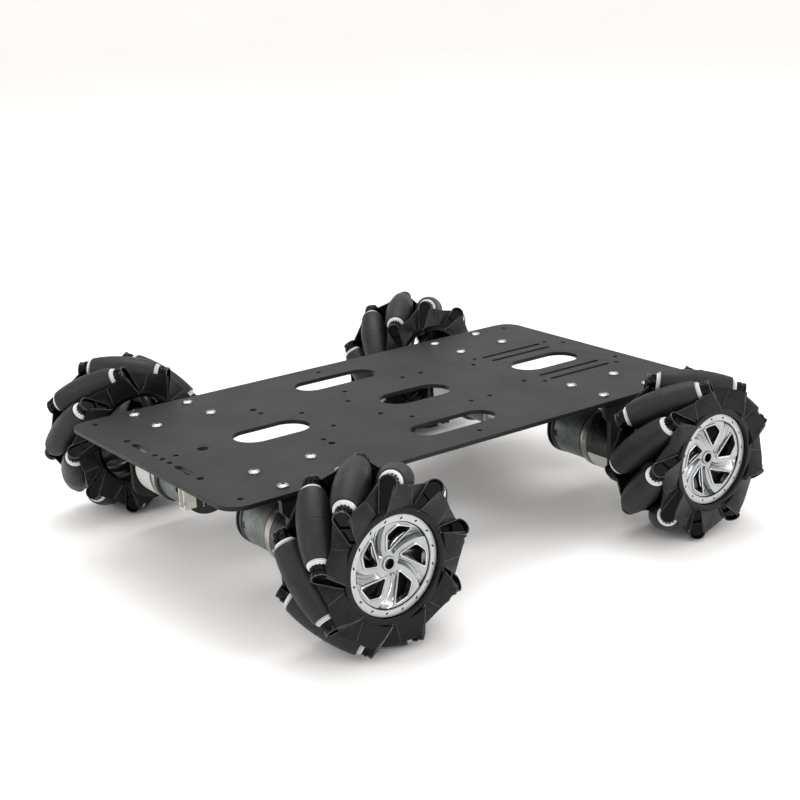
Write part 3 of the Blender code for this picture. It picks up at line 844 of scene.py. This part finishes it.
def bead_meshes(hand):
    """Fine raised lines round a finger's face and along the creases of its web: lines of painted edge
    highlight.
    """
    line = [on_roller(q, p, FINGER_FACE, hand) for q, p in finger_outline(0.0002)]
    return [tube("outline", line, 0.00024, 6),
            bar(on_web(LIP_OUTER, 3.9, hand), on_web(0.0410, 7.5, hand)),
            bar(on_web(LIP_OUTER, 36.0, hand), on_web(0.0426, 25.4, hand))]


def nine_of(meshes):
    """Copies of meshes at the nine rollers' places round the wheel."""
    turns = [Matrix.Rotation(TAU * k / ROLLER_COUNT, 4, "Y") for k in range(ROLLER_COUNT)]
    return [moved(mesh, turn) for turn in turns for mesh in meshes]


# ---------------------------------------------------------------- rim insert
def dish_height(radius):
    """Height of the vanes' face: shallow at the ring and sunk towards the hub."""
    t = (radius - 0.0045) / (RIM_INNER - 0.0045)
    return 0.0150 + 0.0033 * max(0.0, t) ** 0.8


def between(radius, near, far):
    """The angle of a line that runs across the rim through two (radius, degrees) points."""
    t = (radius - near[0]) / (far[0] - near[0])
    return near[1] + (far[1] - near[1]) * t


def vane_height(radius, degrees):
    """Height of the vanes' face: a blade falls from each window's long side to the next cliff."""
    top = between(radius, *WINDOW_LONG_SIDE)
    cliff = between(radius, *CLIFF) - PITCH
    t = ((degrees - RIM_TURN - cliff) % PITCH) / (top - cliff)
    fade = min(1.0, max(0.0, (radius - 0.0050) / 0.0030), max(0.0, (RIM_INNER - radius) / 0.0016))
    rise = VANE_DROP * max(0.0, 1.0 - min(1.0, t)) ** 1.15
    return dish_height(radius) - rise * fade


def vane_mesh(hand):
    """The dished ring of vanes."""
    steps, rows = 360, 30
    inner, outer = 0.0036, RIM_INNER + 0.0002
    bm = bmesh.new()
    top, under = [], []
    for row in range(rows):
        radius = inner + (outer - inner) * row / (rows - 1)
        # The columns follow the cliff, so that its edge stays clean.
        lean = between(radius, *CLIFF) + RIM_TURN + 0.5
        for loop, drop in ((top, 0.0), (under, 0.0026)):
            loop.append([bm.verts.new(polar(radius, a, vane_height(radius, a) - drop, hand))
                         for a in [360 * k / steps + lean for k in range(steps)]])
    edges = [(top[0], under[0]), (top[-1], under[-1])]
    for low, high in list(zip(top, top[1:])) + list(zip(under, under[1:])) + edges:
        bridge(bm, low, high)
    return finish_mesh(bm, "vanes", 40)


def window_outline(grow=0.0):
    """(x, y) points of a window: four sides with rounded corners, grown by a margin."""
    corners = [ray(radius, degrees + RIM_TURN) for radius, degrees in WINDOW_CORNERS]
    loop = [Vector(point) for point in rounded(corners, 0.0012, 6)]
    return [point + Vector(((after - before).y, (before - after).x)).normalized() * grow
            for before, point, after in neighbours(loop)]


def ridge_meshes(hand, steps=6):
    """Fine raised ridges along each blade, from the hub to the ring."""
    made = []
    for near, far in RIDGES:
        for k in range(WINDOW_COUNT):
            line = []
            for step in range(steps + 1):
                radius = near[0] + (far[0] - near[0]) * step / steps
                degrees = between(radius, near, far) + RIM_TURN + PITCH * k
                line.append(polar(radius, degrees, vane_height(radius, degrees), hand))
            made += [bar(start, end, 0.0003) for start, end in zip(line, line[1:])]
    return made


def rim_point(x, y, height, hand, turn=0.0):
    """A flat point put into the wheel, turned by some degrees about the wheel's axis."""
    return polar(Vector((x, y)).length, math.degrees(math.atan2(y, x)) + turn, height, hand)


def window_meshes(hand):
    """The cutters of the five windows, and the raised frames round them."""
    cuts, frames = [], []
    width, sides = 0.00062, 8
    for turn in [PITCH * k for k in range(WINDOW_COUNT)]:
        cuts.append(extruded("window", window_outline(), (0.008, 0.024),
                             lambda x, y, height: rim_point(x, y, height, hand, turn)))
        line = [rim_point(*p, dish_height(p.length) + 0.0001, hand, turn)
                for p in window_outline(width * 0.9)]
        frames.append(tube("frame", line, width, sides))
    return cuts, frames


def tube(name, line, radius, sides):
    """A round bead along a closed line that faces +Y."""
    bm = bmesh.new()
    rings = []
    for before, point, after in neighbours(line):
        ahead = (after - before).normalized()
        side = ahead.cross(Vector((0, 1, 0))).normalized()
        up = side.cross(ahead)
        rings.append([bm.verts.new(point + side * radius * math.cos(TAU * j / sides)
                                   + up * 1.15 * radius * math.sin(TAU * j / sides))
                      for j in range(sides)])
    for low, high in zip(rings, rings[1:] + rings[:1]):
        bridge(bm, low, high)
    return finish_mesh(bm, name, 60)


def ring_mesh(hand):
    """The flat outer ring, with a fine step inside it and small slanted pockets round it, both painted
    near-black as painted shade.
    """
    profile = [(RIM_OUTER, 0.0120), (RIM_OUTER, RIM_FACE), (RIM_INNER + 0.0002, RIM_FACE),
               (RIM_INNER, RIM_FACE - 0.0008), (RIM_INNER - 0.0004, RIM_FACE - 0.0008),
               (RIM_INNER - 0.0006, RIM_FACE - 0.0030), (RIM_OUTER - 0.0016, RIM_FACE - 0.0034),
               (RIM_OUTER - 0.0012, 0.0120)]
    ring = lathe("ring", rounded(profile, 0.00015), 128, WHEEL_LAY)
    for face in ring.polygons:                        # the step inside the ring is painted near-black: painted shade that reads as a dark line
        if math.hypot(face.center.x, face.center.z) < RIM_INNER + 0.00005:
            face.material_index = 1
    slant = Matrix.Rotation(math.radians(35), 2)
    loop = [Vector((MARK_RADIUS, 0.0)) + slant @ Vector((x, y + math.copysign(0.00042, y)))
            for x, y in [spot(0.00045, TAU * (j + 0.5) / 12) for j in range(12)]]
    # The pockets' walls take slot 1, the near-black painted shade.
    cuts = [extruded("mark", loop, (RIM_FACE - 0.0007, RIM_FACE + 0.001),
                     lambda x, y, height: rim_point(x, y, height, hand, turn), material=1)
            for turn in [360 * k / MARK_COUNT for k in range(MARK_COUNT)]]
    return carve("ring", ring, cuts=cuts, materials=2)


def hub_meshes():
    """The hub's silver boss and the bore in it, whose walls are painted near-black as painted shade."""
    boss = lathe("boss", rounded([(0.0027, 0.0090), (0.0027, 0.0158), (0.0037, 0.0158),
                                  (0.0040, 0.0150), (0.0044, 0.0090)], 0.0003), 48, WHEEL_LAY)
    bore = lathe("bore", [(0, 0.0095), (0.00269, 0.0095), (0.00269, 0.0154), (0.0025, 0.0154),
                          (0.0025, 0.0110), (0, 0.0110)], 32, WHEEL_LAY)
    return boss, bore


def coupling_mesh(shaft_end):
    """A hexagon coupling with its clamp flange, and the gearbox's shaft going into it."""
    near = shaft_end + 0.0075
    screw_place = axis_matrix((0.0056, near + 0.004, 0), (1, 0, 0))
    return joined("coupling", [
        hexagon("hexagon", 0.0118, (near, 0.0030), WHEEL_LAY, 0.0005),
        turned("hub", (0, 0.0062), (0.0028, 0.0118), 0.0004),
        turned("shaft", (0, 0.0030), (shaft_end, near + 0.001), 0.0002, 32),
        turned("screw", (0, 0.0016), (0.0, 0.0012), 0.0002, 20, screw_place),
    ])


def carrier_mesh(hand):
    """Silver spokes deep behind the windows, from the hub to the drum."""
    disc = lathe("disc", rounded([(0.0042, 0.0060), (0.0042, 0.0105), (0.0075, 0.0105),
                                  (0.0088, 0.0080), (0.0088, 0.0060)], 0.0004), 48, WHEEL_LAY)
    spokes = []
    for k in range(WINDOW_COUNT):
        corners = []
        for radius, lean, half in ((0.0065, 26, 0.0034), (0.0160, 8, 0.0062), (0.0274, -4, 0.0070)):
            degrees = PITCH * k + RIM_TURN + lean
            mid, side = Vector(ray(radius, degrees)), Vector(ray(1.0, degrees + 90)) * half
            corners += [mid + side, mid - side]
        points = [rim_point(*p, height, hand) for p in corners for height in (0.0058, 0.0098)]
        spokes.append(hull("spoke", points, bevel=0.0004))
        ridge = [rim_point(*(corners[m] * 0.5 + corners[m + 1] * 0.5), height, hand)
                 for m in (0, 4) for height in (0.0090, 0.0114)]
        thin = [p + Vector((0, 0, side * 0.0006)) for side in (1, -1) for p in ridge]
        spokes.append(hull("rib", thin, bevel=0.0002))
    return joined("carrier", [disc] + spokes)


def axle_rod(hand):
    along, _ = lean_axis(hand)
    reach = FINGER_BACK + 0.0004
    place = axis_matrix((ROLLER_AXIS, 0, 0), along)
    return turned("axle", (0, 0.0015), (-reach, reach), 0.0002, 16, place)


def make_wheels():
    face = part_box("front_left_motor_bracket")[1].y
    roller = joined("roller", [rubber_mesh(), painted(flange_mesh(), 1)], 40)
    boss_mesh, bore_mesh = hub_meshes()
    over = Matrix.Rotation(math.pi, 4, "X")
    shapes = {}
    for hand in (1, -1):
        washer, boss = washer_and_boss(hand)
        ends = nine_of([painted(washer, 1)]) + nine_of([boss])
        ends += [moved(mesh, over) for mesh in ends]
        axles = nine_of([painted(axle_rod(hand), 2)])
        cuts, frames = window_meshes(hand)
        vanes = carve("vanes", vane_mesh(hand), cuts=cuts)
        # The frames and ridges take the lighter chrome: painted highlights.
        painted_highlight_lines = [painted(mesh, 1) for mesh in frames + ridge_meshes(hand)]
        shapes[hand] = {
            # The beads take slot 3, the lighter nylon: painted edge highlights.
            "plate": joined("side_plate", [side_plate_mesh(hand)] + nine_of(
                [painted(mesh, 3) for mesh in bead_meshes(hand)])),
            "ends": joined("roller_ends", ends + axles),
            # The bore takes slot 2, the near-black painted shade.
            "vanes": joined("vanes", [vanes, boss_mesh] + painted_highlight_lines + [painted(bore_mesh, 2)], 40),
            "ring": ring_mesh(hand), "carrier": carrier_mesh(hand),
        }
    for corner in CORNERS:
        place, hand = wheel_matrix(corner)
        wheel, made = corner + "_wheel", shapes[hand]
        coupling = coupling_mesh(face + BOSS_RISE + GAP - abs(place.translation.y))
        for side, turn in (("outer", Matrix()), ("inner", over)):
            piece(f"{corner}_{side}_plate", made["plate"], ["gloss", "web", "drum", "highlight_bead"], wheel,
                  place @ turn, [f"{corner}_{side}_side_plate"])
        piece(corner + "_roller_ends", made["ends"], ["drum", "white", "steel"], wheel, place)
        piece(corner + "_rim_ring", made["ring"], ["ring", "painted_shade"], wheel, place,
              [corner + "_spoked_hub"])
        piece(corner + "_rim_vanes", made["vanes"], ["vane", "ridge", "painted_shade"], wheel, place)
        piece(corner + "_coupling", coupling, "steel", wheel, place)
        piece(corner + "_carrier", made["carrier"], "carrier", wheel, place)
        for k in range(1, ROLLER_COUNT + 1):
            body = f"{corner}_roller_{k}"
            joint = JOINTS[body + "_spin"]
            lie = axis_matrix(joint["pos_m"], joint["axis"])
            piece(body + "_barrel", roller, ["rubber", "white"], body, lie, [body])


# ---------------------------------------------------------------- stage, light and camera
def make_stage():
    """A plain white floor that curves up into a low wall all round."""
    reach, bend, top = 4.2, 1.6, 3.0
    line = [(0, 0)] + arc(reach, bend, bend, -90, 0, 14) + [(reach + bend, top)]
    mesh = lathe("sweep", line, 96)
    paper = Finish("studio_paper", (0.93, 0.92, 0.91), 0.85)
    paper.tint(paper.noise(3.0, 3.0), 0.99, 1.01)
    mesh.materials.append(paper.mat)
    sweep = linked("studio_sweep", mesh)


def area_light(name, place, target, size, power):
    light = bpy.data.lights.new(name, "AREA")
    light.shape = "RECTANGLE"
    light.size, light.size_y = size
    light.energy = power
    aim = (Vector(target) - Vector(place)).normalized().to_track_quat("-Z", "Y")
    linked(name, light).matrix_world = Matrix.Translation(place) @ aim.to_matrix().to_4x4()


def make_light():
    bpy.context.scene.view_settings.view_transform = "Standard"
    world = bpy.data.worlds.new("studio")
    world.use_nodes = True
    sky = world.node_tree.nodes["Background"].inputs
    sky["Color"].default_value = (1.0, 0.965, 0.94, 1)
    sky["Strength"].default_value = 0.42
    bpy.context.scene.world = world
    area_light("ceiling", (0, 0, 5.0), (0, 0, 0), (12.0, 12.0), 370)
    area_light("overhead", (0.25, 0.45, 1.7), (0, 0, 0), (1.3, 0.9), 13)
    area_light("left_fill", (-1.6, 0.3, 0.9), (0, 0, 0.04), (0.5, 0.5), 6)
    area_light("front_fill", (0.6, -1.7, 0.9), (0, -0.1, 0.04), (1.1, 0.2), 9)
    area_light("strip", (-1.0, -1.2, 1.1), (0, 0, 0.05), (0.12, 1.0), 5)


def make_camera():
    """The photo's camera, fitted to the deck's edges, screws and holes and the near rims."""
    camera = bpy.data.cameras.new("camera")
    camera.sensor_width = 36.0
    camera.lens = 68.23
    camera.shift_x, camera.shift_y = -0.0156, 0.0431
    camera.clip_start = 0.01
    obj = linked("camera", camera)
    right = Vector((0.7954, -0.6050, -0.0361)).normalized()
    back = Vector((-0.5648, -0.7615, 0.3180))
    back = (back - right * back.dot(right)).normalized()
    turn = Matrix((right, back.cross(right), back)).transposed().to_4x4()
    obj.matrix_world = Matrix.Translation((-0.5119, -0.7079, 0.3451)) @ turn
    bpy.context.scene.camera = obj


make_camera()
make_stage()
make_light()
deck_high = make_deck()
make_drives()
flange_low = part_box("front_left_motor_bracket")[1].z - BRACKET_THICKNESS
make_fasteners(deck_high, flange_low)
make_wheels()
bpy.context.view_layer.update()
